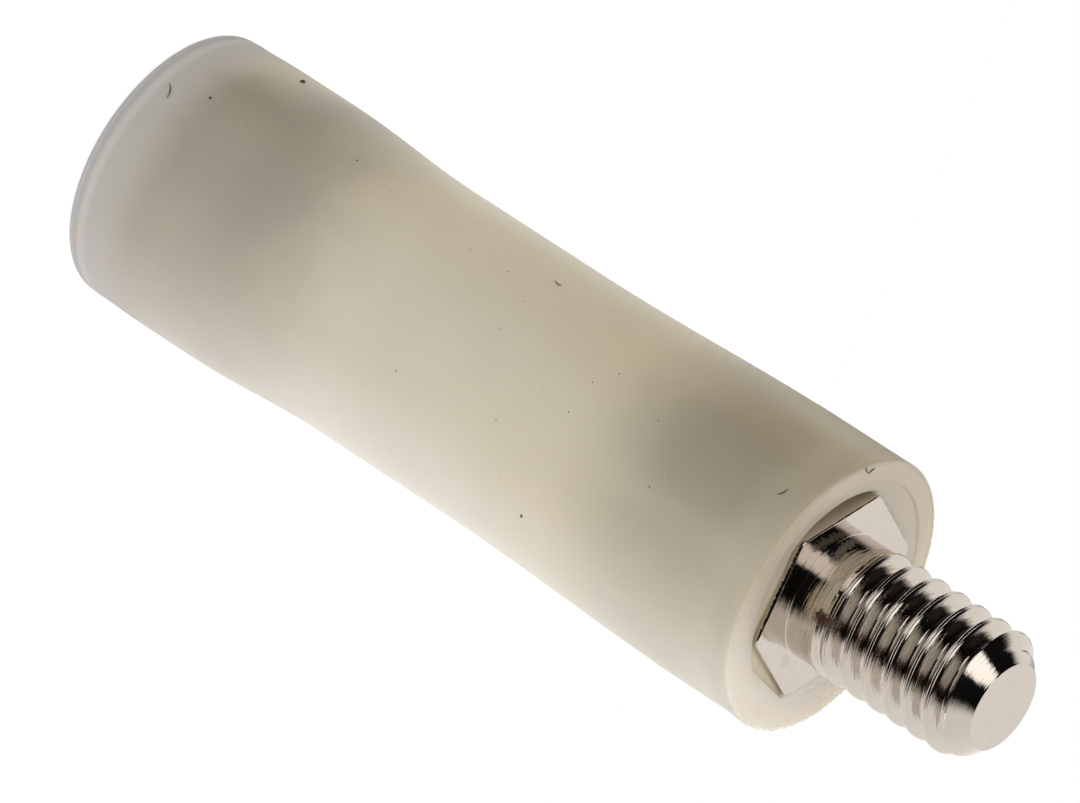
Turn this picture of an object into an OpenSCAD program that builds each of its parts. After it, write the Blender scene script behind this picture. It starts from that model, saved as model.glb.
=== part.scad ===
// Round insulating standoff. A nylon body is moulded round two hexagonal
// metal inserts: one carries the threaded stud at the top, the other is
// tapped and ends flush with the bottom face, on which the part stands.

/* [Nylon body] */
// Outside diameter of the body over the inserts
body_d = 8; // [7.5:0.1:12]
// Length of the body from its bottom face to its top rim
body_l = 24; // [18:0.5:60]
// Depth of the moulding hollow round the solid middle
sink_depth = 0.21; // [0.05:0.01:0.35]
// Height over which the hollow fades in above the tapped insert
sink_run_bottom = 4.6; // [2:0.1:8]
// Height over which the hollow fades in below the stud insert
sink_run_top = 8.2; // [2:0.1:10]
// How far the bottom hollow starts short of the tapped insert's inner end
sink_lead_bottom = 2.4; // [0:0.1:4]
// How far the top hollow starts short of the stud insert's inner end
sink_lead_top = 3.4; // [0:0.1:5]
// Loss of radius at the bottom face from the draft of the mould
draft_depth = 0.05; // [0.01:0.01:0.15]
// Height of the drafted length above the bottom face
draft_l = 2; // [1:0.1:3]
// Radius round the bottom edge
bottom_edge_r = 0.45; // [0.1:0.05:0.7]
// Radius round the edge of the top rim
rim_edge_r = 0.15; // [0.05:0.01:0.3]

/* [Pocket round the stud] */
// Gap between the insert's turned corners and the pocket wall
pocket_gap = 0.05; // [0.02:0.01:0.3]
// Depth of the pocket below the rim
pocket_depth = 0.5; // [0.3:0.1:2.5]
// Width of the shallow step round the pocket's mouth
step_w = 0.4; // [0.1:0.05:0.6]
// Depth of that step
step_depth = 0.1; // [0.02:0.01:0.3]

/* [Hexagon bar of both inserts] */
// Width across the flats
hex_af = 5.2; // [4.9:0.1:6]
// Diameter to which the hexagon's corners are turned
hex_corner_d = 5.9; // [5.4:0.1:6.4]
// Diameter at the bottom of each anchoring groove
groove_d = 4.6; // [4.3:0.1:4.8]
// Width of each anchoring groove
groove_w = 1.1; // [0.5:0.1:1.6]
// Chamfer round each insert's inner end
inner_chamfer = 0.3; // [0.1:0.05:0.5]

/* [Stud insert] */
// Length of the hexagon that is held in the nylon
stud_grip_l = 6; // [4.5:0.1:8]
// Height of the hexagon's face above the nylon rim
hex_proud = 0.05; // [0:0.01:0.2]
// Depth of the stud insert's groove below the pocket floor
stud_groove_in = 2.2; // [0.5:0.1:3]
// Diameter of the plain neck under the thread
neck_d = 3.5; // [2.8:0.1:3.7]
// Length of the plain neck
neck_l = 0.9; // [0.5:0.1:2]
// Diameter over the thread's crests
thread_d = 3.84; // [3.8:0.01:4]
// Diameter at the bottom of the thread's grooves
thread_root_d = 3.1; // [3:0.02:3.3]
// Pitch of the thread, whose turns the solid has as rings
thread_pitch = 0.7; // [0.5:0.05:1]
// Width of the flat on each crest
crest_w = 0.15; // [0.05:0.01:0.2]
// Width of the flat at the bottom of each groove
root_w = 0.11; // [0.05:0.01:0.2]
// Least length above the neck where the thread runs out to its crests
runout_l = 0.8; // [0.4:0.1:1.5]
// Length of the crest under the tip's chamfer
last_crest_l = 0.25; // [0.1:0.05:0.4]
// Distance from the nylon rim to the stud's tip
stud_l = 6; // [4:0.5:20]
// Diameter of the flat on the stud's tip
tip_flat_d = 2.54; // [1.8:0.02:3.2]

/* [Tapped insert] */
// Length of the tapped insert
tapped_l = 6.2; // [5:0.1:8]
// Diameter of the hole inside the thread
tap_d = 3.3; // [3.1:0.05:3.4]
// Depth of the hole's straight wall below the bottom face
tap_depth = 4.6; // [3:0.1:4.8]
// Diameter of the countersink at the mouth
sink_d = 4.3; // [3.6:0.1:4.6]
// Full angle of the drill's point
drill_angle = 140; // [130:1:160]
// Depth of the tapped insert's groove above the bottom face
tapped_groove_in = 2.6; // [1:0.1:3.5]

/* [Hidden] */
$fn = 96;
nylon_colour = [0.87, 0.85, 0.79];
nickel_colour = [0.78, 0.75, 0.71];
profile_steps = 44;     // bands between the two edge radii
edge_steps = 6;         // chords round each edge radius
overrun = 1;            // how far a cutter runs past the face it opens
body_r = body_d / 2;
pocket_d = hex_corner_d + 2 * pocket_gap;
step_d = pocket_d + 2 * step_w;
stud_hex_z = body_l - stud_grip_l;
pocket_z = body_l - pocket_depth;
neck_z = body_l + hex_proud;
thread_z = neck_z + neck_l;
tip_z = body_l + stud_l;
tip_chamfer = (thread_d - tip_flat_d) / 2;
thread_top_z = tip_z - tip_chamfer;
thread_cut_w = thread_pitch - crest_w;
thread_cut_z = thread_top_z - last_crest_l - thread_cut_w / 2;
thread_cuts = max(0, floor((thread_cut_z + thread_cut_w / 2 + crest_w - thread_z - runout_l)
    / thread_pitch + 0.01));
countersink_h = (sink_d - tap_d) / 2;
drill_point_h = tap_d / 2 / tan(drill_angle / 2);
sink_z_bottom = tapped_l - sink_lead_bottom;
sink_z_top = stud_hex_z + sink_lead_top;

// Smooth step from 0 to 1 as x goes from 0 to 1
function ease(x) = (1 - cos(180 * min(1, max(0, x)))) / 2;

// Radius of the moulded body at height z
function body_radius(z) = body_r
    - sink_depth * min(ease((z - sink_z_bottom) / sink_run_bottom),
                       ease((sink_z_top - z) / sink_run_top))
    - draft_depth * (1 - ease(z / draft_l));

// Points of a quarter round of radius r about [x, y], from angle a
function quarter(x, y, r, a) =
    [for (i = [0:edge_steps]) let (t = a + 90 * i / edge_steps) [x + r * cos(t), y + r * sin(t)]];

// Outside of the body: edge radius, hollowed side, edge radius
module body_blank() {
    low = bottom_edge_r;
    high = body_l - rim_edge_r;
    side = [for (i = [1:profile_steps - 1])
        let (z = low + (high - low) * i / profile_steps) [body_radius(z), z]];
    rotate_extrude()
        polygon(concat([[0, 0]],
            quarter(body_radius(low) - bottom_edge_r, low, bottom_edge_r, -90),
            side,
            quarter(body_radius(high) - rim_edge_r, high, rim_edge_r, 0),
            [[0, body_l]]));
}

// Hexagon bar with its corners turned to a round and its end at z = 0 chamfered
module hex_bar(l) {
    intersection() {
        cylinder(d = hex_af / cos(30), h = l, $fn = 6);
        union() {
            cylinder(d1 = hex_corner_d - 2 * inner_chamfer, d2 = hex_corner_d, h = inner_chamfer);
            translate([0, 0, inner_chamfer]) cylinder(d = hex_corner_d, h = l);
        }
    }
}

// Ring that turns an anchoring groove from z = 0 up
module groove_cut() {
    difference() {
        cylinder(d = hex_corner_d + 2 * overrun, h = groove_w);
        translate([0, 0, -overrun]) cylinder(d = groove_d, h = groove_w + 2 * overrun);
    }
}

// Outside of the stud insert's hexagon, which the nylon is moulded round
module stud_hex() {
    translate([0, 0, stud_hex_z]) difference() {
        hex_bar(stud_grip_l + hex_proud);
        translate([0, 0, stud_grip_l - pocket_depth - stud_groove_in - groove_w]) groove_cut();
    }
}

// Threaded length of the stud and its chamfered tip, with a groove to each pitch
module stud_thread() {
    cuts = [for (i = [thread_cuts - 1:-1:0])
        let (z = thread_cut_z - i * thread_pitch)
        each [[thread_d / 2, z - thread_cut_w / 2], [thread_root_d / 2, z - root_w / 2],
              [thread_root_d / 2, z + root_w / 2], [thread_d / 2, z + thread_cut_w / 2]]];
    rotate_extrude()
        polygon(concat([[0, thread_z], [thread_d / 2, thread_z]], cuts,
            [[thread_d / 2, thread_top_z], [tip_flat_d / 2, tip_z], [0, tip_z]]));
}

// Outside of the tapped insert, which the nylon is moulded round
module tapped_hex() {
    difference() {
        translate([0, 0, tapped_l]) mirror([0, 0, 1]) hex_bar(tapped_l);
        translate([0, 0, tapped_groove_in]) groove_cut();
    }
}

// Tapped hole with its countersink and drill point, opening at z = 0
module tapped_hole() {
    translate([0, 0, -overrun]) cylinder(d = tap_d, h = tap_depth + overrun);
    translate([0, 0, tap_depth]) cylinder(d1 = tap_d, d2 = 0, h = drill_point_h);
    translate([0, 0, -overrun]) cylinder(d1 = sink_d + 2 * overrun, d2 = tap_d, h = countersink_h + overrun);
}

module nylon_body() {
    color(nylon_colour) difference() {
        body_blank();
        stud_hex();
        tapped_hex();
        translate([0, 0, pocket_z]) cylinder(d = pocket_d, h = pocket_depth + overrun);
        translate([0, 0, body_l - step_depth]) cylinder(d = step_d, h = step_depth + overrun);
    }
}

module stud_insert() {
    color(nickel_colour) union() {
        stud_hex();
        translate([0, 0, pocket_z]) cylinder(d = neck_d, h = thread_z - pocket_z);
        stud_thread();
    }
}

module tapped_insert() {
    color(nickel_colour) difference() {
        tapped_hex();
        tapped_hole();
    }
}

nylon_body();
stud_insert();
tapped_insert();
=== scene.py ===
"""Round nylon standoff with a nickel-plated stud insert and a tapped insert.

Lengths are in metres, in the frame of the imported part: the standoff stands on
its tapped end with its axis on Z, and two corners of the hexagons lie on X.
"""

import math
import random

import bmesh
import bpy
from mathutils import Matrix, Vector, noise


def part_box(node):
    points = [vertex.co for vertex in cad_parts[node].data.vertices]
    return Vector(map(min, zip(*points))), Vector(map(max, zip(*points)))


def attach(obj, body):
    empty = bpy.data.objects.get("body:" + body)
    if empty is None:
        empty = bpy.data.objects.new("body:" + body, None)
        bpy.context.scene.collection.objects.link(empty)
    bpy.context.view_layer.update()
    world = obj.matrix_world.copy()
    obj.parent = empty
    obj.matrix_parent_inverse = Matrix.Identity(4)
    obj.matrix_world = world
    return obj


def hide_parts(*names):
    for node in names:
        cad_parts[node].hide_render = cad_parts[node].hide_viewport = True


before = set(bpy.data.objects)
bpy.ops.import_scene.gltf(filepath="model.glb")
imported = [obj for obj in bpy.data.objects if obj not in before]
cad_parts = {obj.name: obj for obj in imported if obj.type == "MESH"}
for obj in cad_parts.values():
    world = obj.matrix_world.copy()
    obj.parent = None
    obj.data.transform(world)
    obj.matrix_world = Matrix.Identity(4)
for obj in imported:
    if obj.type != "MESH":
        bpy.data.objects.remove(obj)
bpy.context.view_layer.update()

MM = 0.001
SEED = 4

# Sizes that the frame gives
body_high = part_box("nylon_body")[1]
stud_low, stud_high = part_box("stud_insert")
tapped_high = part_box("tapped_insert")[1]
BODY_R = body_high.x
BODY_L = body_high.z
STUD_HEX_Z = stud_low.z
TIP_Z = stud_high.z
HEX_HALF_AF = stud_high.y
HEX_CORNER_R = stud_high.x
TAPPED_L = tapped_high.z

# Nylon body
SINK_DEPTH = 0.21 * MM
SINK_RUN_BOTTOM = 4.6 * MM
SINK_RUN_TOP = 8.2 * MM
SINK_LEAD_BOTTOM = 2.4 * MM
SINK_LEAD_TOP = 3.4 * MM
DRAFT_DEPTH = 0.05 * MM
DRAFT_L = 2.0 * MM
BOTTOM_EDGE_R = 0.2 * MM
RIM_EDGE_R = 0.07 * MM
RIM_LIP = 0.03 * MM
BOTTOM_BEAD = 0.012 * MM
BEAD_Z = 0.46 * MM
POCKET_R = HEX_CORNER_R + 0.12 * MM
POCKET_DEPTH = 0.5 * MM
STEP_R = POCKET_R + 0.33 * MM
STEP_DEPTH = 0.05 * MM
SHALLOW_POCKET_DEPTH = 0.12 * MM
FLASH_HEIGHT = 0.09 * MM

# Inserts
HEX_FACE_Z = BODY_L + 0.05 * MM
HEX_EDGE = 0.028 * MM
GROOVE_R = 2.3 * MM
GROOVE_W = 1.1 * MM
STUD_GROOVE_Z = BODY_L - POCKET_DEPTH - 2.2 * MM - GROOVE_W
TAPPED_GROOVE_Z = 2.6 * MM
INNER_CHAMFER = 0.3 * MM

# Threads, both M4
PITCH = 0.7 * MM
CREST_R = 1.895 * MM
ROOT_R = 1.525 * MM
PITCH_R = 1.725 * MM
NECK_R = 1.83 * MM
NECK_TOP_Z = HEX_FACE_Z + 0.9 * MM
THREAD_LEAD_IN = 0.06 * MM
TIP_FLAT_R = 1.27 * MM
THREAD_PHASE = 0.157
GROOVE_FADE = 0.5 * MM
LATE_START = 0.2 * MM
SEAM_HALF = 0.045
SEAM_DEPTH = 0.022 * MM
TAP_CREST_R = 1.65 * MM
TAP_ROOT_R = 2.02 * MM
TAP_PITCH_R = 1.80 * MM
TAP_DEPTH = 4.6 * MM
COUNTERSINK_R = 2.15 * MM
DRILL_POINT_H = 0.6 * MM

# Arcs round the axis, in degrees
FLASH_ARC = (-27, 29)          # where the flash is torn
POCKET_ARC = (184, 357)        # where the pocket is open
DEEP_ARC = (150, 217)          # where it is deepest
STEP_ARC = (125, 228)          # where the step is sharp
FLAT_WALL_ANGLE = 338          # middle of the pocket's straight wall
FLAT_WALL_HALF = 30            # half of the arc that the straight wall may cut
FLAT_WALL_REACH = 20           # half of the arc that it does cut

# Fineness of the meshes
BODY_SEGMENTS = 720
METAL_SEGMENTS = 240
BOTTOM_EDGE_ROWS = 8
RIM_EDGE_ROWS = 5
SIDE_ROWS = 60
NECK_ROWS = 8


def clamp(value, low, high):
    return min(high, max(low, value))


def ease(x):
    """Smooth step from 0 to 1."""
    return (1 - math.cos(math.pi * clamp(x, 0, 1))) / 2


def soft_min(a, b, width):
    """The smaller of two lengths, with the corner between them rounded over width."""
    h = clamp(0.5 + 0.5 * (b - a) / width, 0, 1)
    return b * (1 - h) + a * h - width * h * (1 - h)


def soft_max(a, b, width):
    return -soft_min(-a, -b, width)


def body_radius(z):
    """Radius of the moulded side, hollowed where no insert holds the nylon out."""
    hollow = min(
        ease((z - TAPPED_L + SINK_LEAD_BOTTOM) / SINK_RUN_BOTTOM),
        ease((STUD_HEX_Z + SINK_LEAD_TOP - z) / SINK_RUN_TOP),
    )
    return BODY_R - SINK_DEPTH * hollow - DRAFT_DEPTH * (1 - ease(z / DRAFT_L))


def hex_radius(angle):
    """Distance from the axis to the outline of the hexagon with turned corners."""
    flat = HEX_HALF_AF / math.cos(angle % (math.pi / 3) - math.pi / 6)
    return min(flat, HEX_CORNER_R)


class Turned:
    """A closed mesh made of rings round the Z axis."""

    def __init__(self, segments):
        self.segments = segments
        self.verts = []
        self.faces = []
        self.last = None

    def angles(self):
        return [2 * math.pi * j / self.segments for j in range(self.segments)]

    def pole(self, z):
        """A point on the axis, which starts or ends the mesh."""
        self.verts.append((0, 0, z))
        tip = len(self.verts) - 1
        if self.last is not None:
            self.fan(self.last, tip)
        self.last = tip

    def fan(self, ring, tip):
        for j, a in enumerate(ring):
            self.faces.append((a, ring[(j + 1) % len(ring)], tip))

    def make_ring(self, row):
        start = len(self.verts)
        for angle in self.angles():
            r, z = row(angle)
            self.verts.append((r * math.cos(angle), r * math.sin(angle), z))
        return list(range(start, len(self.verts)))

    def ring(self, row):
        """Adds a ring and joins it to the one before."""
        new = self.make_ring(row)
        if isinstance(self.last, int):
            self.fan(new, self.last)
        elif self.last is not None:
            n = self.segments
            for j in range(n):
                k = (j + 1) % n
                self.faces.append((self.last[j], self.last[k], new[k], new[j]))
        self.last = new
        return new

    def round_ring(self, r, z):
        return self.ring(lambda angle: (r, z))

    def hex_ring(self, z, inset=0.0):
        return self.ring(lambda angle: (hex_radius(angle) - inset, z))

    def thread(self, z_end, radius_at, phases, pitch):
        """Rows that follow a right-hand helix from the last ring up to a round ring at z_end."""
        first = self.last
        z_start = self.verts[first[0]][2]
        end = self.make_ring(lambda angle: (radius_at(z_end, 0.0), z_end))
        made = {}
        per_turn = len(phases)

        def vertex(k, j):
            if j == self.segments:
                k, j = k + per_turn, 0
            turn, step = divmod(k, per_turn)
            z = z_start + pitch * (turn - 1 + phases[step] + j / self.segments)
            if z <= z_start:
                return first[j]
            if z >= z_end:
                return end[j]
            if (k, j) not in made:
                angle = 2 * math.pi * j / self.segments
                r = radius_at(z, phases[step])
                made[(k, j)] = len(self.verts)
                self.verts.append((r * math.cos(angle), r * math.sin(angle), z))
            return made[(k, j)]

        rows = per_turn * (math.ceil((z_end - z_start) / pitch) + 2)
        for j in range(self.segments):
            for k in range(rows):
                corners = (vertex(k, j), vertex(k, j + 1), vertex(k + 1, j + 1), vertex(k + 1, j))
                face = []
                for corner in corners:
                    if corner not in face:
                        face.append(corner)
                if len(face) > 2:
                    self.faces.append(tuple(face))
        self.last = end

    def build(self, name, sharp_degrees):
        """The finished object, smooth but for edges sharper than the angle given."""
        mesh = bpy.data.meshes.new(name)
        mesh.from_pydata(self.verts, [], self.faces)
        bm = bmesh.new()
        bm.from_mesh(mesh)
        bmesh.ops.recalc_face_normals(bm, faces=bm.faces)
        bm.to_mesh(mesh)
        bm.free()
        mesh.shade_smooth()
        mesh.set_sharp_from_angle(angle=math.radians(sharp_degrees))
        return link(bpy.data.objects.new(name, mesh))


def link(obj):
    bpy.context.scene.collection.objects.link(obj)
    return obj


def thread_phases(shift=0.0, per_flank=3, per_round=4):
    """Places of the rows across one pitch, crowded where the profile turns."""
    crest, root = 0.106, 0.419      # phases at which the flank meets the crest and the root
    half = [0.0, SEAM_HALF * 0.5, SEAM_HALF]
    half += [crest - 0.04 + 0.08 * i / per_round for i in range(per_round + 1)]
    half += [crest + 0.04 + (root - crest - 0.08) * i / per_flank for i in range(1, per_flank)]
    half += [root - 0.04 + 0.08 * i / per_round for i in range(per_round + 1)]
    other = [1 - x for x in half if x > 0]
    return sorted(set(round((x - shift) % 1, 5) for x in half + [0.5] + other))


def thread_depth_at(phase, crest_r, root_r, pitch_r, sign):
    """Radius of the 60 degree profile at a phase of the pitch; sign is 1 outside and -1 in a hole."""
    off = abs((phase + 0.5) % 1 - 0.5)
    flank = pitch_r + sign * (0.25 - off) * PITCH * math.tan(math.radians(60))
    if sign > 0:
        return soft_min(soft_max(flank, root_r, 0.10 * MM), crest_r, 0.07 * MM)
    return soft_max(soft_min(flank, root_r, 0.10 * MM), crest_r, 0.07 * MM)


def seam_at(phase):
    """Depth of the fine seam that rolling leaves along the middle of a crest."""
    off = abs((phase + 0.5) % 1 - 0.5)
    return SEAM_DEPTH * (1 - ease(off / SEAM_HALF))


def ragged(angle, scale, salt):
    """Noise between 0 and 1 round the axis."""
    point = Vector((math.cos(angle) * scale, math.sin(angle) * scale, salt))
    return 0.5 + 0.5 * noise.fractal(point, 0.7, 2.2, 4)


def build_nylon_body():
    """Body with its two blind sockets, the pocket and the torn flash on its edges."""
    shape = Turned(BODY_SEGMENTS)
    shape.pole(TAPPED_L)
    shape.hex_ring(TAPPED_L)
    shape.hex_ring(0.0)
    low = BOTTOM_EDGE_R
    low_r = body_radius(low)
    for i in range(BOTTOM_EDGE_ROWS + 1):
        t = math.pi / 2 * i / BOTTOM_EDGE_ROWS
        r = low_r - BOTTOM_EDGE_R + BOTTOM_EDGE_R * math.sin(t)
        shape.round_ring(r, low - BOTTOM_EDGE_R * math.cos(t))
    for up, out in ((-0.09 * MM, 0), (-0.03 * MM, BOTTOM_BEAD), (0.03 * MM, BOTTOM_BEAD), (0.09 * MM, 0)):
        shape.round_ring(body_radius(BEAD_Z + up) + out, BEAD_Z + up)
    high = BODY_L - RIM_EDGE_R
    for i in range(1, SIDE_ROWS):
        z = low + (high - low) * i / SIDE_ROWS
        shape.round_ring(body_radius(z), z)
    high_r = body_radius(high)
    for i in range(RIM_EDGE_ROWS + 1):
        t = math.pi / 2 * i / RIM_EDGE_ROWS

        def rim_row(angle, t=t):
            torn = flash_at(angle) * math.cos(t - math.pi / 4)
            r = high_r - RIM_EDGE_R + (RIM_EDGE_R + torn) * math.cos(t)
            z = high + (RIM_EDGE_R + 0.3 * torn) * math.sin(t) + lip_at(angle) * math.sin(t) ** 2
            return r, min(z, BODY_L + RIM_LIP)

        shape.ring(rim_row)
    for inset in (0.05 * MM, 0.08 * MM):
        shape.round_ring(high_r - RIM_EDGE_R - inset, BODY_L)
    for outset in (0.05 * MM, 0.03 * MM):
        shape.round_ring(STEP_R + outset, BODY_L)
    shape.ring(lambda angle: (STEP_R, BODY_L - 0.2 * step_at(angle)))
    shape.ring(lambda angle: (STEP_R - 0.02 * MM, BODY_L - step_at(angle)))
    shape.ring(lambda angle: (pocket_radius(angle) + 0.02 * MM, BODY_L - step_at(angle)))
    shape.ring(lambda angle: (pocket_radius(angle), mouth_at(angle)))
    shape.ring(lambda angle: (pocket_radius(angle), pocket_floor(angle)))
    shape.ring(lambda angle: (hex_radius(angle), pocket_floor(angle)))
    shape.hex_ring(STUD_HEX_Z)
    shape.pole(STUD_HEX_Z)
    body = shape.build("nylon_body_moulded", 50)
    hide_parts("nylon_body")
    return body


def within_arc(angle, start, end, fade):
    """1 from start to end, in degrees round the axis, and 0 past the fade at either side."""
    centre = math.radians((start + end) / 2)
    away = abs((angle - centre + math.pi) % (2 * math.pi) - math.pi)
    return 1 - ease((away - math.radians((end - start) / 2)) / math.radians(fade))


def step_at(angle):
    """Depth of the step round the pocket's mouth, which fades out on one side."""
    return STEP_DEPTH * (0.05 + 0.95 * within_arc(angle, *STEP_ARC, 35))


def mouth_at(angle):
    """Height of the pocket's mouth."""
    return BODY_L - step_at(angle) - 0.002 * MM - 0.018 * MM * within_arc(angle, *POCKET_ARC, 3)


def pocket_floor(angle):
    """Height of the floor: open on one side, deepest at one end, level with the mouth elsewhere."""
    opened = within_arc(angle, *POCKET_ARC, 3)
    deep = within_arc(angle, *DEEP_ARC, 40)
    filled = mouth_at(angle) - 0.004 * MM
    depth = SHALLOW_POCKET_DEPTH + (POCKET_DEPTH - SHALLOW_POCKET_DEPTH) * deep
    return filled + (BODY_L - depth - filled) * opened


def pocket_radius(angle):
    """Round mouth of the pocket, cut straight across one flat of the hexagon."""
    middle = math.radians(FLAT_WALL_ANGLE)
    away = abs((angle - middle + math.pi) % (2 * math.pi) - math.pi)
    if away > math.radians(FLAT_WALL_HALF):
        return POCKET_R
    flat = POCKET_R * math.cos(math.radians(FLAT_WALL_REACH)) / math.cos(away)
    return soft_min(flat, POCKET_R, 0.02 * MM)


def lip_at(angle):
    """Height of the thin edge that the mould left standing round the rim."""
    return RIM_LIP * clamp(1.6 * ragged(angle, 45, 9.0) - 0.25, 0, 1)


def flash_at(angle):
    """Height of the torn moulding flash round the rim: high over one short arc."""
    arc = within_arc(angle, *FLASH_ARC, 12)
    fine = ragged(angle, 70, 1.0) - 0.38
    return FLASH_HEIGHT * (arc * clamp(fine * 2.6, 0, 1) + 0.12 * ragged(angle, 40, 5.0))


def add_bar_end(shape, z_end, z_groove_near, z_groove_far, toward):
    """Rings of the hidden hexagon from its chamfered inner end to past the anchoring groove."""
    shape.pole(z_end)
    inset_r = HEX_CORNER_R - INNER_CHAMFER
    shape.ring(lambda angle: (min(hex_radius(angle), inset_r), z_end))
    shape.hex_ring(z_end + toward * INNER_CHAMFER)
    shape.hex_ring(z_groove_near)
    shape.round_ring(GROOVE_R, z_groove_near)
    shape.round_ring(GROOVE_R, z_groove_far)
    shape.hex_ring(z_groove_far)


def build_stud_insert():
    """Hexagon, plain neck, M4 thread and chamfered tip in one turned piece."""
    shape = Turned(METAL_SEGMENTS)
    add_bar_end(shape, STUD_HEX_Z, STUD_GROOVE_Z, STUD_GROOVE_Z + GROOVE_W, 1)
    for share in (0.0, 0.7, 1.0):
        shape.ring(lambda angle, share=share: worn_edge(angle, share))
    shape.hex_ring(HEX_FACE_Z, 1.35 * HEX_EDGE + 0.01 * MM)
    fillet = 0.03 * MM
    shape.round_ring(NECK_R + 3 * fillet, HEX_FACE_Z)
    shape.round_ring(NECK_R + 2 * fillet, HEX_FACE_Z)
    for i in range(5):
        t = math.pi / 2 * i / 4
        shape.round_ring(NECK_R + fillet * (1 - math.sin(t)), HEX_FACE_Z + fillet * (1 - math.cos(t)))
    neck_low, neck_high = HEX_FACE_Z + fillet, NECK_TOP_Z - THREAD_LEAD_IN
    for i in range(1, NECK_ROWS + 1):
        shape.round_ring(NECK_R, neck_low + (neck_high - neck_low) * i / NECK_ROWS)
    lead_steps = 4
    for i in range(1, lead_steps + 1):
        z = NECK_TOP_Z - THREAD_LEAD_IN * (1 - i / lead_steps)
        shape.ring(lambda angle, z=z: (blank_radius(angle, z), z))
    z_groove_end = TIP_Z - 0.24 * MM
    shape.thread(z_groove_end, stud_radius, thread_phases(THREAD_PHASE), PITCH)
    edge = 0.05 * MM
    cone_r = TIP_FLAT_R + edge
    shape.round_ring(cone_r, TIP_Z - edge)
    for i in range(1, 4):
        t = math.pi / 4 * i / 3
        shape.round_ring(cone_r - edge * math.sin(t), TIP_Z - edge * math.cos(t) * (1 - i / 3))
    shape.round_ring(TIP_FLAT_R - edge, TIP_Z)
    shape.round_ring(0.6 * TIP_FLAT_R, TIP_Z)
    shape.pole(TIP_Z)
    stud = shape.build("stud_insert_threaded", 40)
    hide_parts("stud_insert")
    return stud


def worn_edge(angle, share):
    """The face's broken edge, ragged as the bar was parted; share runs from the side to the face."""
    width = HEX_EDGE * (0.75 + 0.6 * clamp(2 * ragged(angle, 14, 6.0) - 0.5, 0, 1))
    return hex_radius(angle) - width * share ** 2, HEX_FACE_Z - width * (1 - share)


def blank_radius(angle, z):
    """Radius of the blank that the thread is cut in, whose first part is torn away on one side."""
    degrees = math.degrees(angle) % 360
    late = ease((degrees - 60) / 80) * (1 - ease((degrees - 268) / 4))
    late *= 0.9 + 0.3 * ragged(angle, 12, 3.0)
    start = NECK_TOP_Z - THREAD_LEAD_IN + late * LATE_START
    return NECK_R + (CREST_R - NECK_R) * ease((z - start) / THREAD_LEAD_IN)


def stud_radius(z, phase):
    """Radius of the threaded wall: it fades in above the neck and ends in the tip's chamfer."""
    angle = 2 * math.pi * (((z - NECK_TOP_Z) / PITCH - phase) % 1)
    depth_in = ease((z - NECK_TOP_Z - 0.05 * MM) / GROOVE_FADE)
    phase += THREAD_PHASE
    cut = thread_depth_at(phase, CREST_R, ROOT_R, PITCH_R, 1) - seam_at(phase)
    cut = CREST_R - (CREST_R - cut) * depth_in
    if z < NECK_TOP_Z + 2 * LATE_START:
        cut = min(cut, blank_radius(angle, z))
    return soft_min(cut, TIP_FLAT_R + TIP_Z - z, 0.04 * MM)


def build_tapped_insert():
    """Hexagon bar with a blind M4 hole that opens at the bottom face."""
    shape = Turned(METAL_SEGMENTS)
    add_bar_end(shape, TAPPED_L, TAPPED_GROOVE_Z + GROOVE_W, TAPPED_GROOVE_Z, -1)
    shape.hex_ring(HEX_EDGE)
    shape.hex_ring(0.0, HEX_EDGE)
    shape.round_ring(COUNTERSINK_R + 0.02 * MM, 0.0)
    shape.round_ring(COUNTERSINK_R - 0.02 * MM, 0.03 * MM)
    mouth_z = COUNTERSINK_R - TAP_ROOT_R
    shape.round_ring(tapped_radius(mouth_z, 0.5), mouth_z)
    shape.thread(TAP_DEPTH, tapped_radius, thread_phases(), PITCH)
    shape.round_ring(TAP_CREST_R * 0.4, TAP_DEPTH + DRILL_POINT_H * 0.6)
    shape.pole(TAP_DEPTH + DRILL_POINT_H)
    insert = shape.build("tapped_insert_threaded", 40)
    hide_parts("tapped_insert")
    return insert


def tapped_radius(z, phase):
    """Radius of the tapped wall: opened by the countersink, run out near the bottom of the hole."""
    run_out = ease((TAP_DEPTH - 0.4 * MM - z) / (0.6 * MM))
    cut = thread_depth_at(phase, TAP_CREST_R, TAP_ROOT_R, TAP_PITCH_R, -1)
    cut = TAP_CREST_R + (cut - TAP_CREST_R) * run_out
    return soft_max(cut, COUNTERSINK_R - z, 0.04 * MM)


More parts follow.
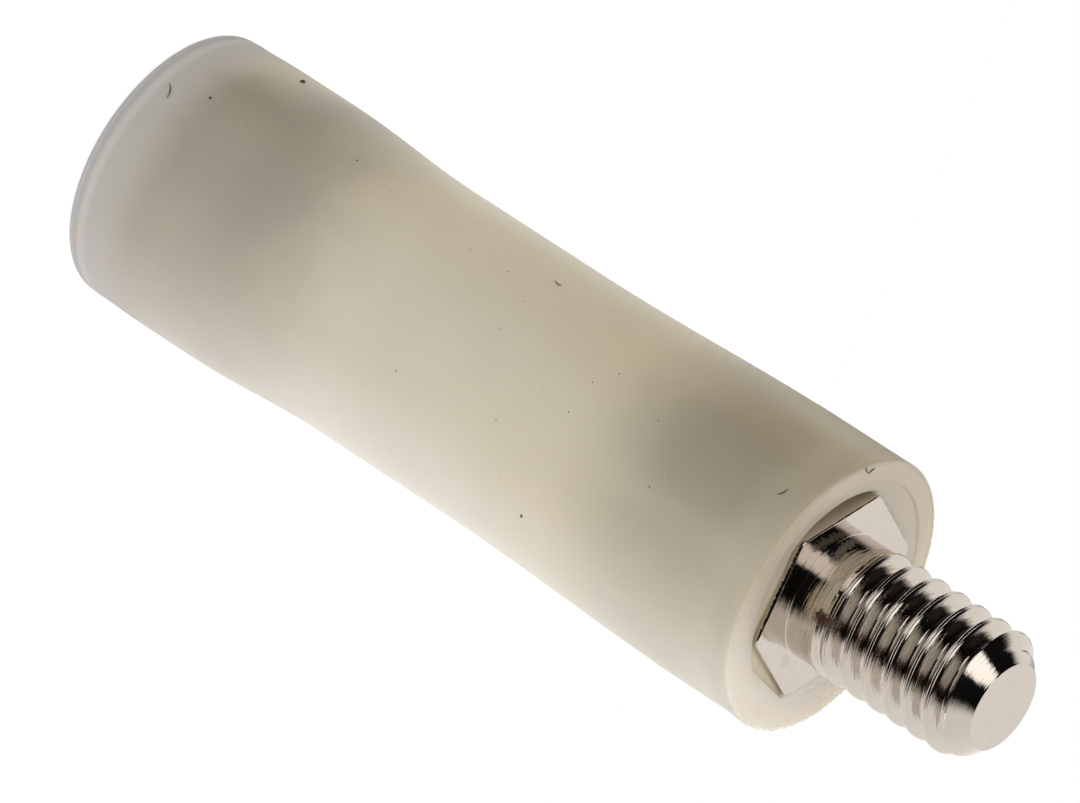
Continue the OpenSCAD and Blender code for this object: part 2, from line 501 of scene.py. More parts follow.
class Nodes:
    """Short forms for making nodes and links in one node tree."""

    def __init__(self, tree):
        self.tree = tree
        self.links = tree.links

    def add(self, kind, **settings):
        node = self.tree.nodes.new(kind)
        for key, value in settings.items():
            setattr(node, key, value)
        return node

    def join(self, source, target):
        self.links.new(source, target)

    def math(self, operation, a, b=None, c=None, clamped=False):
        node = self.add("ShaderNodeMath", operation=operation, use_clamp=clamped)
        for slot, value in enumerate((a, b, c)):
            self.put(value, node.inputs[slot])
        return node.outputs[0]

    def put(self, value, socket):
        if value is None:
            return
        if isinstance(value, bpy.types.NodeSocket):
            self.join(value, socket)
        else:
            socket.default_value = value

    def smooth(self, value, low, high):
        """0 below low, 1 above high, smooth between."""
        node = self.add("ShaderNodeMapRange", interpolation_type="SMOOTHSTEP")
        self.put(value, node.inputs["Value"])
        self.put(low, node.inputs["From Min"])
        self.put(high, node.inputs["From Max"])
        return node.outputs["Result"]

    def mix(self, factor, a, b, blend="MIX"):
        node = self.add("ShaderNodeMix", data_type="RGBA", blend_type=blend)
        self.put(factor, node.inputs[0])
        self.put(a, node.inputs[6])
        self.put(b, node.inputs[7])
        return node.outputs[2]

    def noise(self, vector, scale, detail=2.0, roughness=0.5):
        node = self.add("ShaderNodeTexNoise")
        self.put(vector, node.inputs["Vector"])
        self.put(scale, node.inputs["Scale"])
        self.put(detail, node.inputs["Detail"])
        self.put(roughness, node.inputs["Roughness"])
        return node.outputs["Fac"]


def colour(red, green, blue):
    """Linear colour from the 0 to 255 values that a screen shows."""
    parts = [c / 255 for c in (red, green, blue)]
    return tuple(((c + 0.055) / 1.055) ** 2.4 for c in parts) + (1.0,)


def new_group(name, inputs, outputs):
    """Empty shader node group with named inputs (name, kind, default) and outputs (name, kind)."""
    tree = bpy.data.node_groups.new(name, "ShaderNodeTree")
    for label, kind, default in inputs:
        socket = tree.interface.new_socket(label, in_out="INPUT", socket_type=kind)
        if default is not None:
            socket.default_value = default
    for label, kind in outputs:
        tree.interface.new_socket(label, in_out="OUTPUT", socket_type=kind)
    nodes = Nodes(tree)
    return nodes, nodes.add("NodeGroupInput"), nodes.add("NodeGroupOutput")


def use_group(nodes, group, **values):
    node = nodes.add("ShaderNodeGroup", node_tree=group)
    for label, value in values.items():
        nodes.put(value, node.inputs[label.replace("_", " ")])
    return node


def make_turning_group():
    """Tool lines: rings round the sides and circles on the end faces, each fading along its length."""
    nodes, given, out = new_group(
        "turning_lines",
        [("Lines per mm", "NodeSocketFloat", 9.0), ("Fade per mm", "NodeSocketFloat", 0.5)],
        [("Lines", "NodeSocketFloat"), ("Broad", "NodeSocketFloat")],
    )
    place = nodes.add("ShaderNodeTexCoord").outputs["Object"]
    parts = nodes.add("ShaderNodeSeparateXYZ")
    nodes.join(place, parts.inputs[0])
    across = nodes.math("POWER", parts.outputs["X"], 2.0)
    deep = nodes.math("POWER", parts.outputs["Y"], 2.0)
    radius = nodes.math("SQRT", nodes.math("ADD", across, deep))
    for label, share, detail in (("Lines", 1.0, 2.0), ("Broad", 0.2, 1.0)):
        fine = nodes.math("MULTIPLY", given.outputs["Lines per mm"], share / MM)
        slow = nodes.math("MULTIPLY", given.outputs["Fade per mm"], 1 / MM)
        line = nodes.add("ShaderNodeCombineXYZ")
        ring = nodes.math("MULTIPLY", radius, fine)
        nodes.put(nodes.math("MULTIPLY_ADD", parts.outputs["X"], slow, ring), line.inputs["X"])
        nodes.put(nodes.math("MULTIPLY", parts.outputs["Y"], slow), line.inputs["Y"])
        nodes.put(nodes.math("MULTIPLY", parts.outputs["Z"], fine), line.inputs["Z"])
        nodes.join(nodes.noise(line.outputs[0], 1.0, detail, 0.6), out.inputs[label])
    return nodes.tree


def make_grain_group():
    """Mottle and fine grain of a surface, both between 0 and 1."""
    nodes, given, out = new_group(
        "grain",
        [("Mottle per mm", "NodeSocketFloat", 0.5), ("Grain per mm", "NodeSocketFloat", 8.0)],
        [("Mottle", "NodeSocketFloat"), ("Grain", "NodeSocketFloat")],
    )
    place = nodes.add("ShaderNodeTexCoord").outputs["Object"]
    for label, detail in (("Mottle", 3.0), ("Grain", 2.0)):
        scale = nodes.math("MULTIPLY", given.outputs[label + " per mm"], 1 / MM)
        nodes.join(nodes.noise(place, scale, detail, 0.55), out.inputs[label])
    return nodes.tree


def new_material(name):
    material = bpy.data.materials.new(name)
    material.use_nodes = True
    material.node_tree.nodes.clear()
    nodes = Nodes(material.node_tree)
    shader = nodes.add("ShaderNodeBsdfPrincipled")
    output = nodes.add("ShaderNodeOutputMaterial")
    nodes.join(shader.outputs[0], output.inputs["Surface"])
    return material, nodes, shader


def bump(nodes, height, strength, distance, under=None):
    node = nodes.add("ShaderNodeBump")
    node.inputs["Strength"].default_value = strength
    node.inputs["Distance"].default_value = distance
    nodes.join(height, node.inputs["Height"])
    if under is not None:
        nodes.join(under, node.inputs["Normal"])
    return node.outputs["Normal"]


# Tones of the nylon, most of them painted light and shade
SOLID = colour(232, 225, 206)
# Painted light: the solid nylon on its lit side
SOLID_LIT = colour(239, 231, 220)
# Painted shade over the inserts, and over two corners of the stud's hexagon
SHADE_OVER_TAPPED = colour(166, 157, 145)
SHADE_OVER_STUD = colour(196, 187, 168)
SHADE_OVER_STUD_CORNER = colour(181, 173, 154)
# Painted warm tint for the side that the light reaches least
PAINTED_FAR_SIDE_TINT = (1.0, 0.95, 0.845, 1)
BAND_TINT = (1.0, 0.985, 0.94, 1)
# Painted light: a paler bottom end and edge, and a highlight along the bead
BOTTOM_END_LIT = colour(220, 218, 218)
BOTTOM_EDGE_LIT = colour(244, 242, 241)
BEAD_HIGHLIGHT = colour(250, 240, 234)
# The rim's tone, painted lighter on the lit side and with painted shade at its outer edge
RIM = colour(217, 205, 187)
RIM_LIT = colour(241, 232, 219)
RIM_EDGE_SHADE = colour(186, 176, 158)
# Painted light in the pocket, and its tone on the shaded side
POCKET_BRIGHTENED = colour(230, 212, 178)
POCKET_SHADED = colour(226, 218, 205)


def nylon_material(grain, turning):
    """Milky nylon: warm where it is solid, with painted shade where an insert shades it from inside, and
    painted light and shade by side and at the ends.
    """
    material, nodes, shader = new_material("natural_nylon")
    place = nodes.add("ShaderNodeTexCoord").outputs["Object"]
    parts = nodes.add("ShaderNodeSeparateXYZ")
    nodes.join(place, parts.inputs[0])
    texture = use_group(nodes, grain, Mottle_per_mm=0.25, Grain_per_mm=9.0)
    wavy = nodes.math("MULTIPLY_ADD", texture.outputs["Mottle"], 2.4 * MM, -1.2 * MM)
    height = nodes.math("ADD", parts.outputs["Z"], wavy)

    flat = nodes.add("ShaderNodeCombineXYZ")
    nodes.join(parts.outputs["X"], flat.inputs["X"])
    nodes.join(parts.outputs["Y"], flat.inputs["Y"])

    def toward(direction):
        dot = nodes.add("ShaderNodeVectorMath", operation="DOT_PRODUCT")
        nodes.join(flat.outputs[0], dot.inputs[0])
        dot.inputs[1].default_value = [v / BODY_R for v in direction]
        return dot.outputs["Value"]

    def lobe(angle, half_width):
        turn = (math.cos(math.radians(angle)), math.sin(math.radians(angle)), 0)
        return nodes.smooth(toward(turn), 0.985 * math.cos(math.radians(half_width)), 0.985)

    # Painted shade of the inserts, greyer over them and deepest on the side that the light reaches least
    side = toward(from_view(*SHADED_SIDE))
    depth = nodes.math("MULTIPLY_ADD", nodes.smooth(side, -0.95, 0.3), 0.56, 0.44)
    low = nodes.smooth(height, TAPPED_L + 3.6 * MM, TAPPED_L - 2.2 * MM)
    low = nodes.math("MULTIPLY", low, nodes.smooth(height, -0.5 * MM, 2.6 * MM))
    # The painted shade over the tapped insert is eased at the far corner and over one lobe near the
    # bottom
    far_corner = nodes.math(
        "MULTIPLY", nodes.smooth(side, 0.65, 0.98), nodes.smooth(height, 5.2 * MM, 1.2 * MM)
    )
    low = nodes.math("MULTIPLY", low, nodes.math("MULTIPLY_ADD", far_corner, -0.8, 1.0))
    foot = nodes.math("MULTIPLY", lobe(248, 40), nodes.smooth(height, 6.6 * MM, 3.4 * MM))
    low = nodes.math("MULTIPLY", low, nodes.math("MULTIPLY_ADD", foot, -0.22, 1.0))
    # Painted shade over the stud insert, eased at the near corner and darker over two corners of its
    # hexagon
    high = nodes.smooth(height, STUD_HEX_Z - 1.6 * MM, STUD_HEX_Z + 2.6 * MM)
    high_end = nodes.smooth(height, STUD_HEX_Z + 4.0 * MM, BODY_L)
    high = nodes.math("MULTIPLY", high, nodes.math("MULTIPLY_ADD", high_end, -0.4, 1.0))
    near_corner = nodes.math(
        "MULTIPLY", nodes.smooth(side, 0.74, 0.98), nodes.smooth(height, 18.5 * MM, 22.5 * MM)
    )
    high = nodes.math("MULTIPLY", high, nodes.math("MULTIPLY_ADD", near_corner, -0.85, 1.0))
    corners = nodes.math("MULTIPLY_ADD", lobe(281, 22), 0.5, lobe(234, 28), clamped=True)
    # Solid nylon painted lighter toward the lit side
    solid = nodes.mix(nodes.smooth(side, -0.3, -0.85), SOLID, SOLID_LIT)
    stud_shade = nodes.mix(corners, SHADE_OVER_STUD, SHADE_OVER_STUD_CORNER)
    tone = nodes.mix(nodes.math("MULTIPLY", low, depth), solid, SHADE_OVER_TAPPED)
    tone = nodes.mix(nodes.math("MULTIPLY", high, depth), tone, stud_shade)
    # Painted warm tint toward the side that the light reaches least
    tone = nodes.mix(nodes.smooth(side, 0.1, 0.85), tone, PAINTED_FAR_SIDE_TINT, "MULTIPLY")
    band = nodes.math(
        "MULTIPLY",
        nodes.smooth(height, STUD_HEX_Z - 4.5 * MM, STUD_HEX_Z - 1.0 * MM),
        nodes.smooth(height, STUD_HEX_Z + 2.0 * MM, STUD_HEX_Z - 0.5 * MM),
    )
    tone = nodes.mix(band, tone, BAND_TINT, "MULTIPLY")

    # The bottom end and its bead are painted paler, and so are the rim, lighter toward its lit side, and
    # its pocket; the rim's outer edge gets painted shade
    up = parts.outputs["Z"]
    # The bottom end and its edge painted paler, as light coming in through the end leaves them
    end = nodes.math("MULTIPLY", nodes.smooth(up, 2.6 * MM, 0.1 * MM), 0.9)
    tone = nodes.mix(end, tone, BOTTOM_END_LIT)
    tone = nodes.mix(nodes.smooth(up, 0.26 * MM, 0.14 * MM), tone, BOTTOM_EDGE_LIT)
    # Painted highlight along the bead
    bead = nodes.math(
        "MULTIPLY",
        nodes.smooth(up, BEAD_Z - 0.20 * MM, BEAD_Z),
        nodes.smooth(up, BEAD_Z + 0.28 * MM, BEAD_Z + 0.04 * MM),
    )
    tone = nodes.mix(nodes.math("MULTIPLY", bead, 0.6), tone, BEAD_HIGHLIGHT)
    inner = nodes.smooth(up, BODY_L - 0.14 * MM, BODY_L - 0.04 * MM)
    # The rim painted lighter toward the lit side, with painted shade at its outer edge on the other side
    rim = nodes.mix(nodes.smooth(side, 0.0, -0.9), RIM, RIM_LIT)
    length = nodes.add("ShaderNodeVectorMath", operation="LENGTH")
    nodes.join(flat.outputs[0], length.inputs[0])
    radius = length.outputs["Value"]
    outer = nodes.math(
        "MULTIPLY",
        nodes.smooth(radius, BODY_R - 0.17 * MM, BODY_R - 0.06 * MM),
        nodes.smooth(side, -0.9, 0.0),
    )
    rim = nodes.mix(nodes.math("MULTIPLY", outer, 0.5), rim, RIM_EDGE_SHADE)
    tone = nodes.mix(inner, tone, rim)
    # The pocket painted brighter, with its shaded side in a second tone
    sunk = nodes.math(
        "MULTIPLY",
        nodes.smooth(up, BODY_L - 1.4 * MM, BODY_L - 1.2 * MM),
        nodes.smooth(up, BODY_L - STEP_DEPTH - 0.01 * MM, BODY_L - STEP_DEPTH - 0.08 * MM),
    )
    within = nodes.smooth(radius, POCKET_R + 0.06 * MM, POCKET_R + 0.01 * MM)
    inside = nodes.math("MULTIPLY", sunk, within)
    pocket = nodes.mix(nodes.smooth(side, -0.2, 0.6), POCKET_BRIGHTENED, POCKET_SHADED)
    tone = nodes.mix(inside, tone, pocket)
    lines = use_group(nodes, turning, Lines_per_mm=9.0, Fade_per_mm=0.4)
    near_rim = nodes.smooth(up, BODY_L - 1.2 * MM, BODY_L - 0.3 * MM)
    marks = nodes.math("MULTIPLY", lines.outputs["Lines"], near_rim)
    mottle = nodes.math("MULTIPLY_ADD", texture.outputs["Mottle"], 0.12, 0.94)
    mottle = nodes.math("MULTIPLY_ADD", marks, -0.14, mottle)
    mottled = nodes.add("ShaderNodeCombineColor")
    for channel in range(3):
        nodes.join(mottle, mottled.inputs[channel])
    tone = nodes.mix(1.0, tone, mottled.outputs[0], "MULTIPLY")
    nodes.join(tone, shader.inputs["Base Color"])

    rough = nodes.math("MULTIPLY_ADD", texture.outputs["Grain"], 0.14, 0.33)
    nodes.join(rough, shader.inputs["Roughness"])
    ringed = bump(nodes, marks, 1.0, 0.012 * MM)
    grained = bump(nodes, texture.outputs["Grain"], 1.0, 0.006 * MM, ringed)
    nodes.join(grained, shader.inputs["Normal"])
    shader.inputs["IOR"].default_value = 1.53
    shader.inputs["Subsurface Weight"].default_value = 0.7
    shader.inputs["Subsurface Radius"].default_value = (1.0, 0.85, 0.65)
    shader.inputs["Subsurface Scale"].default_value = 0.7 * MM
    return material


PLATE_DARKER = colour(200, 191, 181)
PLATE_LIGHTER = colour(210, 202, 193)


def nickel_material(name, turning, grain, lines_per_mm, line_height, patched):
    """Bright nickel plate over turned brass, with tool lines, faint waves and a few brown and olive
    patches.
    """
    material, nodes, shader = new_material(name)
    lines = use_group(nodes, turning, Lines_per_mm=lines_per_mm, Fade_per_mm=0.5)
    cloud = use_group(nodes, grain, Mottle_per_mm=2.2, Grain_per_mm=14.0)
    tone = nodes.mix(cloud.outputs["Mottle"], PLATE_DARKER, PLATE_LIGHTER)
    tooled = lines.outputs["Lines"]
    metallic = 1.0
    if patched:
        place = nodes.add("ShaderNodeTexCoord").outputs["Object"]
        parts = nodes.add("ShaderNodeSeparateXYZ")
        nodes.join(place, parts.inputs[0])
        turned = nodes.smooth(parts.outputs["Z"], HEX_FACE_Z + 0.005 * MM, HEX_FACE_Z + 0.05 * MM)
        tooled = nodes.math("MULTIPLY", tooled, nodes.math("MULTIPLY_ADD", turned, 0.75, 0.25))
        for angle, radius, z, size, strength, tint in BROWN_OLIVE_PATCHES:
            away = nodes.add("ShaderNodeVectorMath", operation="DISTANCE")
            nodes.join(place, away.inputs[0])
            away.inputs[1].default_value = at(angle, radius, z)
            torn = nodes.math("MULTIPLY_ADD", cloud.outputs["Grain"], -2.4 * size, away.outputs["Value"])
            patch = nodes.math("MULTIPLY", nodes.smooth(torn, -0.05 * size, -0.5 * size), strength)
            tone = nodes.mix(patch, tone, tint)
            metallic = nodes.math("MULTIPLY_ADD", patch, -0.8, metallic, clamped=True)
    nodes.join(tone, shader.inputs["Base Color"])
    rough = nodes.math("MULTIPLY_ADD", lines.outputs["Broad"], 0.10, 0.02)
    nodes.join(rough, shader.inputs["Roughness"])
    nodes.put(metallic, shader.inputs["Metallic"])
    fine = bump(nodes, tooled, 1.0, line_height)
    waves = bump(nodes, cloud.outputs["Mottle"], 1.0, 0.006 * MM, fine)
    nodes.join(waves, shader.inputs["Normal"])
    return material


def at(angle_degrees, radius, z):
    """Point from its angle round the axis, its distance from the axis and its height."""
    a = math.radians(angle_degrees)
    return (radius * math.cos(a), radius * math.sin(a), z)


# Brown and olive patches where the thread starts and round the neck, and a faint one on the hexagon's
# face:
# degrees round the axis, radius, height, size, strength and colour
BROWN = colour(76, 46, 39)
OLIVE = colour(100, 86, 60)
BROWN_OLIVE_PATCHES = [
    (273, CREST_R, NECK_TOP_Z + 0.04 * MM, 0.21 * MM, 0.95, BROWN),
    (275, CREST_R, NECK_TOP_Z + 0.20 * MM, 0.21 * MM, 0.95, BROWN),
    (273, CREST_R, NECK_TOP_Z + 0.38 * MM, 0.20 * MM, 0.9, BROWN),
    (271, CREST_R, NECK_TOP_Z + 0.82 * MM, 0.20 * MM, 0.8, BROWN),
    (264, CREST_R, NECK_TOP_Z + 0.90 * MM, 0.18 * MM, 0.7, BROWN),
    (228, NECK_R, HEX_FACE_Z + 0.32 * MM, 0.13 * MM, 0.5, OLIVE),
    (222, NECK_R, HEX_FACE_Z + 0.29 * MM, 0.15 * MM, 0.55, OLIVE),
    (216, NECK_R, HEX_FACE_Z + 0.26 * MM, 0.14 * MM, 0.55, OLIVE),
    (210, NECK_R, HEX_FACE_Z + 0.24 * MM, 0.15 * MM, 0.55, OLIVE),
    (204, NECK_R, HEX_FACE_Z + 0.21 * MM, 0.14 * MM, 0.5, OLIVE),
    (198, NECK_R, HEX_FACE_Z + 0.18 * MM, 0.12 * MM, 0.45, OLIVE),
    (337, 2.12 * MM, HEX_FACE_Z, 0.22 * MM, 0.09, BROWN),
]
# Sideways direction in the view, toward the side of the body that the light reaches least
SHADED_SIDE = (0.549, -0.836, 0.0)


def dust_material():
    material, nodes, shader = new_material("dark_dust")
    place = nodes.add("ShaderNodeTexCoord").outputs["Object"]
    speckle = nodes.noise(place, 9000.0, 2.0)
    nodes.join(nodes.mix(speckle, colour(60, 52, 44), colour(110, 100, 88)), shader.inputs["Base Color"])
    shader.inputs["Roughness"].default_value = 0.9
    return material


def on_body(angle_degrees, z, lift=0.0):
    """Point on the nylon's side and the direction out of it."""
    a = math.radians(angle_degrees)
    out = Vector((math.cos(a), math.sin(a), 0))
    return out * (body_radius(z) + lift) + Vector((0, 0, z)), out


def build_dust():
    """Specks and short hairs that cling to the nylon, as one piece."""
    rng = random.Random(SEED)
    bm = bmesh.new()
    for angle, z_mm, size_mm in MARKED_SPECKS:
        add_speck(bm, rng, angle, z_mm * MM, size_mm * MM)
    for _ in range(RANDOM_SPECKS):
        z = rng.uniform(0.8, BODY_L / MM - 0.8) * MM
        add_speck(bm, rng, rng.uniform(0, 360), z, rng.uniform(0.015, 0.035) * MM)
    for hair in HAIRS:
        add_hair(bm, *hair)
    mesh = bpy.data.meshes.new("dust_specks")
    bm.to_mesh(mesh)
    bm.free()
    mesh.shade_smooth()
    return link(bpy.data.objects.new("dust_specks", mesh))


def add_speck(bm, rng, angle, z, size):
    """A lumpy flattened grain, half sunk in the surface."""
    centre, out = on_body(angle, z, 0.05 * size)
    turn = out.to_track_quat("Z", "Y").to_matrix().to_4x4()
    squash = Matrix.Diagonal((rng.uniform(0.7, 1.3), rng.uniform(0.6, 1.1), 0.45, 1))
    place = Matrix.Translation(centre) @ turn @ squash
    made = bmesh.ops.create_icosphere(bm, subdivisions=2, radius=size / 2, matrix=place)
    for vert in made["verts"]:
        away = vert.co - centre
        vert.co = centre + away * (0.95 + 0.5 * noise.noise(away * 9 / size + Vector((z * 1e4, 0, 0))))


def add_hair(bm, angle, z_mm, length_mm, lean_degrees, bend_mm):
    """A short bent fibre that lies on the side, or on the rim where its height is past the rim."""
    steps = 10
    sides = 6
    radius = 0.018 * MM
    rows = []
    lean = math.radians(lean_degrees)
    for i in range(steps + 1):
        t = i / steps - 0.5
        along = length_mm * t
        aside = bend_mm * (1 - 4 * t * t)
        up = along * math.cos(lean) - aside * math.sin(lean)
        round_mm = along * math.sin(lean) + aside * math.cos(lean)
        turn = math.degrees(round_mm * MM / BODY_R)
        z = (z_mm + up) * MM
        centre, out = on_body(angle + turn, min(z, BODY_L - RIM_EDGE_R), radius * 0.6)
        if z_mm * MM > BODY_L:
            inward = z_mm * MM - BODY_L + up * MM
            centre = out * (BODY_R - inward) + Vector((0, 0, BODY_L + radius * 0.8))
            out = Vector((0, 0, 1))
        rows.append((centre, out))
    rings = []
    for i, (centre, out) in enumerate(rows):
        near = rows[max(0, i - 1)][0]
        far = rows[min(steps, i + 1)][0]
        side = (far - near).normalized().cross(out)
        thick = radius * (0.35 + 0.65 * math.sin(math.pi * (i + 0.5) / (steps + 1)))
        ring = []
        for k in range(sides):
            t = 2 * math.pi * k / sides
            ring.append(bm.verts.new(centre + (side * math.cos(t) + out * math.sin(t)) * thick))
        rings.append(ring)
    for a, b in zip(rings, rings[1:]):
        for k in range(sides):
            n = (k + 1) % sides
            bm.faces.new((a[k], a[n], b[n], b[k]))
    bm.faces.new(rings[0][::-1])
    bm.faces.new(rings[-1])


# Specks that stand out: degrees round the axis, height in mm, size in mm
MARKED_SPECKS = [
    (184, 2.9, 0.22), (298, 16.5, 0.12), (223, 2.0, 0.12), (208, 6.4, 0.05), (211, 7.8, 0.04),
    (214, 10.9, 0.04), (213, 12.2, 0.06), (221, 13.3, 0.04), (237, 13.4, 0.04), (274, 11.4, 0.05),
    (226, 17.0, 0.05), (235, 16.6, 0.04), (250, 16.6, 0.05), (268, 14.8, 0.04), (257, 19.9, 0.06),
    (250, 20.2, 0.04), (234, 18.9, 0.04), (179, 16.8, 0.05),
]
RANDOM_SPECKS = 40
# Hairs: degrees round the axis, height in mm, length in mm, lean in degrees, bend in mm;
# a height past the body's length is a distance in from the rim's edge
HAIRS = [
    (230, 0.9, 0.50, 55, -0.06), (203, 13.4, 0.28, 12, 0.04), (231, 23.1, 0.30, -66, 0.04),
    (197.5, 24.13, 0.28, -36, 0.02), (193.9, 24.22, 0.24, 60, 0.03),
]

# The photograph's view, from a fit of the camera to the outlines
VIEW_TILT = 60.56      # degrees between the standoff's axis and the line of sight
VIEW_ROLL = 33.11      # degrees that the axis points below the image's right
VIEW_TURN = -16.25     # degrees from the object's X axis to the view's sideways axis
VIEW_DISTANCE = 425.28 * MM
VIEW_SHIFT = (-9.911 * MM, -6.369 * MM)
FOCAL_PIXELS = 15880
IMAGE_WIDTH = 1080
SENSOR_WIDTH = 36.0


def view_axes():
    """The image's right, down and forward directions, in the part's frame."""
    tilt, roll = math.radians(VIEW_TILT), math.radians(VIEW_ROLL)
    up_axis = Vector((math.sin(tilt) * math.cos(roll), math.sin(tilt) * math.sin(roll), -math.cos(tilt)))
    side_axis = Vector((-math.sin(roll), math.cos(roll), 0))
    deep_axis = up_axis.cross(side_axis)
    seen = Matrix((side_axis, deep_axis, up_axis)).transposed()
    turn = Matrix.Rotation(math.radians(VIEW_TURN), 3, "Z")
    to_object = turn @ seen.transposed()
    return [to_object @ Vector(axis) for axis in ((1, 0, 0), (0, 1, 0), (0, 0, 1))]


def make_camera():
    right, down, forward = view_axes()
    data = bpy.data.cameras.new("camera")
    data.sensor_width = SENSOR_WIDTH
    data.lens = FOCAL_PIXELS / IMAGE_WIDTH * SENSOR_WIDTH
    camera = link(bpy.data.objects.new("camera", data))
    place = -(right * VIEW_SHIFT[0] + down * VIEW_SHIFT[1] + forward * VIEW_DISTANCE)
    turn = Matrix((right, -down, -forward)).transposed().to_4x4()
    camera.matrix_world = Matrix.Translation(place) @ turn
    bpy.context.scene.camera = camera


def from_view(x, y, z):
    """Direction in the part's frame from one in the image's right, down and forward."""
    right, down, forward = view_axes()
    return (right * x + down * y + forward * z).normalized()


def make_world():
    """White surroundings with a few screens, which only light and mirror the object."""
    world = bpy.data.worlds.new("studio")
    bpy.context.scene.world = world
    world.use_nodes = True
    world.node_tree.nodes.clear()
    nodes = Nodes(world.node_tree)
    toward = nodes.add("ShaderNodeTexCoord").outputs["Generated"]
    level = nodes.add("ShaderNodeValue").outputs[0]
    level.default_value = SURROUND_LEVEL
    for direction, inner, outer, value in SCREENS:
        dot = nodes.add("ShaderNodeVectorMath", operation="DOT_PRODUCT")
        nodes.join(toward, dot.inputs[0])
        dot.inputs[1].default_value = from_view(*direction)
        edge = nodes.smooth(
            dot.outputs["Value"], math.cos(math.radians(outer)), math.cos(math.radians(inner))
        )
        keep = nodes.math("MULTIPLY", level, nodes.math("SUBTRACT", 1.0, edge))
        level = nodes.math("MULTIPLY_ADD", edge, value, keep)
    studio = nodes.add("ShaderNodeBackground")
    last_screen = edge
    nodes.join(nodes.mix(last_screen, SURROUND_COLOUR, BROWN_SCREEN), studio.inputs["Color"])
    nodes.join(level, studio.inputs["Strength"])
    white = nodes.add("ShaderNodeBackground")
    white.inputs["Color"].default_value = (1, 1, 1, 1)
    rays = nodes.add("ShaderNodeLightPath")
    choose = nodes.add("ShaderNodeMixShader")
    nodes.join(rays.outputs["Is Camera Ray"], choose.inputs[0])
    nodes.join(studio.outputs[0], choose.inputs[1])
    nodes.join(white.outputs[0], choose.inputs[2])
    output = nodes.add("ShaderNodeOutputWorld")
    nodes.join(choose.outputs[0], output.inputs["Surface"])


SURROUND_LEVEL = 1.04
SURROUND_COLOUR = (1.0, 0.985, 0.965, 1.0)
BROWN_SCREEN = (1.0, 0.45, 0.28, 1.0)
# Screens, painted over one another: direction in the image's right, down and forward,
# inner and outer half angle in degrees, and level. The last one is brown
SCREENS = [
    ((0.05, -0.42, -0.90), 78, 101, 0.006),
    ((0.10, -0.95, 0.30), 8, 36, 0.04),
    ((0.00, 0.97, -0.25), 16, 40, 0.95),
    ((-0.72, -0.47, -0.52), 14, 38, 0.60),
    ((0.68, -0.05, -0.73), 12, 19, 1.65),
    ((0.28, -0.40, -0.87), 12, 20, 1.3),
    ((0.20, -0.30, 0.93), 8, 23, 0.22),
    ((-0.934, 0.037, -0.352), 4, 12, 0.11),
]
FLOOR_RADIUS = 38 * MM
FLOOR_WHITE = 0.86
FLOOR_GLOW = 0.6
# The part sees the table dimmed close to it, as its own shade would leave it
FLOOR_DIM = 0.85
FLOOR_DIM_MIRRORED = 0.35
FLOOR_DIM_RADII = (4.5 * MM, 9 * MM)


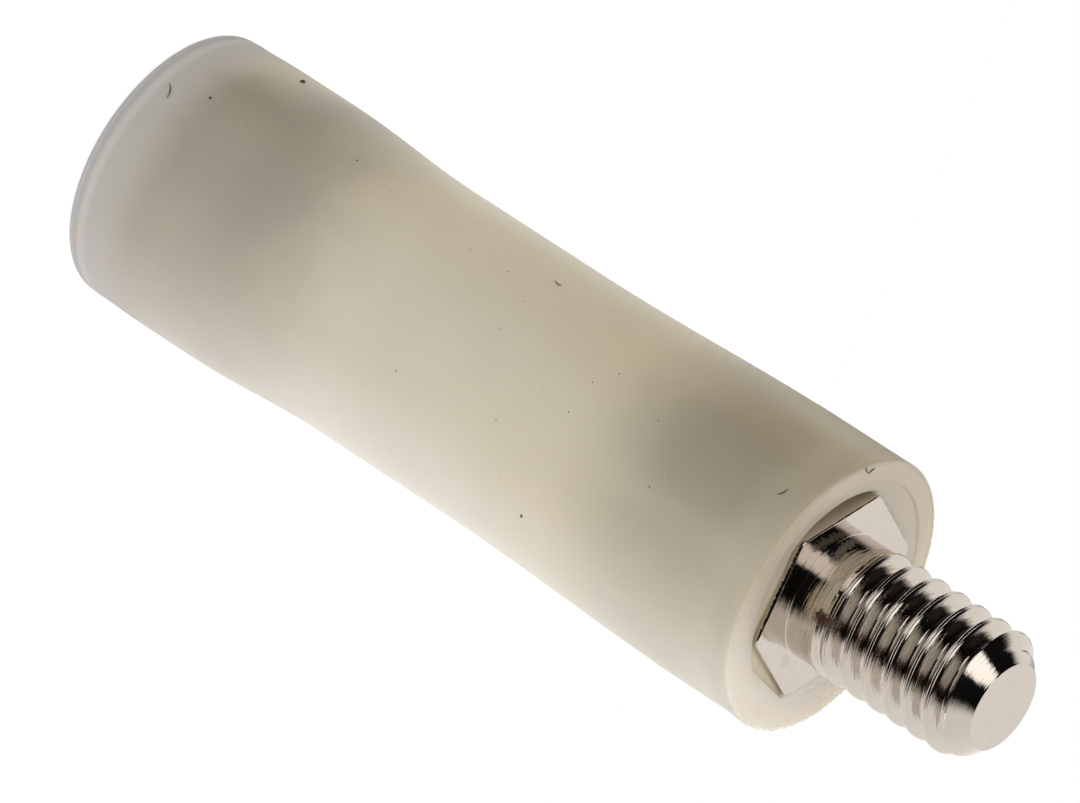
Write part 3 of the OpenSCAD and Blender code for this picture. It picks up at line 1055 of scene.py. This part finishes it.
def make_floor():
    """Round white table under the part, which keeps the part's soft shadow."""
    bm = bmesh.new()
    bmesh.ops.create_circle(bm, cap_ends=True, radius=FLOOR_RADIUS, segments=96)
    mesh = bpy.data.meshes.new("floor")
    bm.to_mesh(mesh)
    bm.free()
    floor = link(bpy.data.objects.new("floor", mesh))
    material = bpy.data.materials.new("white_table")
    material.use_nodes = True
    material.node_tree.nodes.clear()
    nodes = Nodes(material.node_tree)
    rays = nodes.add("ShaderNodeLightPath")
    away = nodes.add("ShaderNodeVectorMath", operation="LENGTH")
    nodes.join(nodes.add("ShaderNodeTexCoord").outputs["Object"], away.inputs[0])
    clear = nodes.smooth(away.outputs["Value"], *FLOOR_DIM_RADII)
    mirrored = rays.outputs["Is Glossy Ray"]
    least = nodes.math("MULTIPLY_ADD", mirrored, FLOOR_DIM_MIRRORED - FLOOR_DIM, FLOOR_DIM)
    clear = nodes.math("MULTIPLY_ADD", clear, nodes.math("SUBTRACT", 1.0, least), least)
    clear = nodes.math("MAXIMUM", clear, rays.outputs["Is Camera Ray"])
    diffuse = nodes.add("ShaderNodeBsdfDiffuse")
    nodes.put(nodes.math("MULTIPLY", clear, FLOOR_WHITE), diffuse.inputs["Color"])
    glow = nodes.add("ShaderNodeEmission")
    glow.inputs["Color"].default_value = (1, 1, 1, 1)
    seen = nodes.math("MAXIMUM", rays.outputs["Is Camera Ray"], rays.outputs["Is Glossy Ray"])
    seen = nodes.math("MAXIMUM", seen, rays.outputs["Is Transmission Ray"])
    seen = nodes.math("MULTIPLY", seen, clear)
    nodes.put(nodes.math("MULTIPLY", seen, FLOOR_GLOW), glow.inputs["Strength"])
    both = nodes.add("ShaderNodeAddShader")
    nodes.join(diffuse.outputs[0], both.inputs[0])
    nodes.join(glow.outputs[0], both.inputs[1])
    output = nodes.add("ShaderNodeOutputMaterial")
    nodes.join(both.outputs[0], output.inputs["Surface"])
    mesh.materials.append(material)


def make_fill(name, direction, angle_degrees, power, tint):
    """Broad lamp that lights the nylon and that the metal does not mirror."""
    data = bpy.data.lights.new(name, "SUN")
    data.energy = power
    data.angle = math.radians(angle_degrees)
    data.color = tint
    lamp = link(bpy.data.objects.new(name, data))
    lamp.rotation_mode = "QUATERNION"
    lamp.rotation_quaternion = from_view(*direction).to_track_quat("Z", "Y")
    lamp.visible_glossy = False


def dress(piece, material):
    """Gives a piece its material and makes it ride on the part's one body."""
    piece.data.materials.clear()
    piece.data.materials.append(material)
    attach(piece, "root")


turning = make_turning_group()
grain = make_grain_group()
dress(build_nylon_body(), nylon_material(grain, turning))
stud_plate = nickel_material("nickel_stud", turning, grain, 15.0, 0.009 * MM, True)
tapped_plate = nickel_material("nickel_tapped", turning, grain, 7.0, 0.006 * MM, False)
dress(build_stud_insert(), stud_plate)
dress(build_tapped_insert(), tapped_plate)
dress(build_dust(), dust_material())
make_floor()
make_world()
make_fill("side_fill", (-0.574, 0.032, -0.819), 90, 0.97, (1.0, 0.985, 0.95))
make_fill("end_fill", (0.728, 0.478, -0.49), 70, 0.85, (1.0, 0.985, 0.96))
make_camera()
bpy.context.scene.view_settings.view_transform = "Standard"
